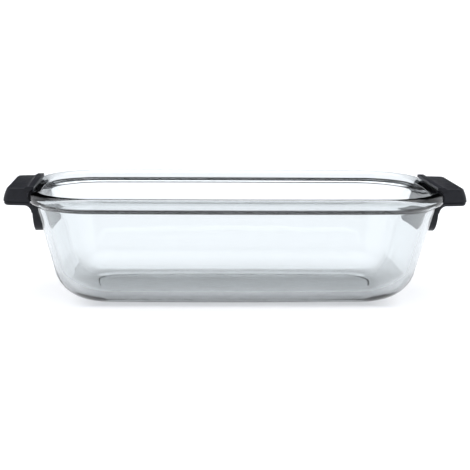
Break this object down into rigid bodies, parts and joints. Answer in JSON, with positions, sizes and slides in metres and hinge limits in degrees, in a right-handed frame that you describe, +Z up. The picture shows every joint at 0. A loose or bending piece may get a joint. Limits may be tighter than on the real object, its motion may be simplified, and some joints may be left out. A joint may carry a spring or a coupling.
{
  "type": "loaf pan",
  "caption": "Deep rectangular clear glass loaf dish with rounded corners, a thick rolled rim and a black two-shell handle clamped on each end.",
  "frame": {"origin": "on the surface the dish stands on, under the middle of the dish", "axes": "+X along the dish towards the right handle, +Y across it towards the back, +Z up out of the open top"},
  "size_m": [0.295, 0.142, 0.0741],
  "materials": {
    "glass": "clear pressed glass, fire polished",
    "handle_plastic": "moulded black, satin",
    "silicone": "matt dark grey silicone",
    "screw_steel": "plain stainless steel"
  },
  "bodies": {
    "root": {"glass_dish": "glass", "left_handle_cover": "handle_plastic", "left_handle_base": "handle_plastic", "left_lug_cushion": "silicone", "left_screw_front": "screw_steel", "left_screw_back": "screw_steel", "right_handle_cover": "handle_plastic", "right_handle_base": "handle_plastic", "right_lug_cushion": "silicone", "right_screw_front": "screw_steel", "right_screw_back": "screw_steel"}
  },
  "joints": []
}
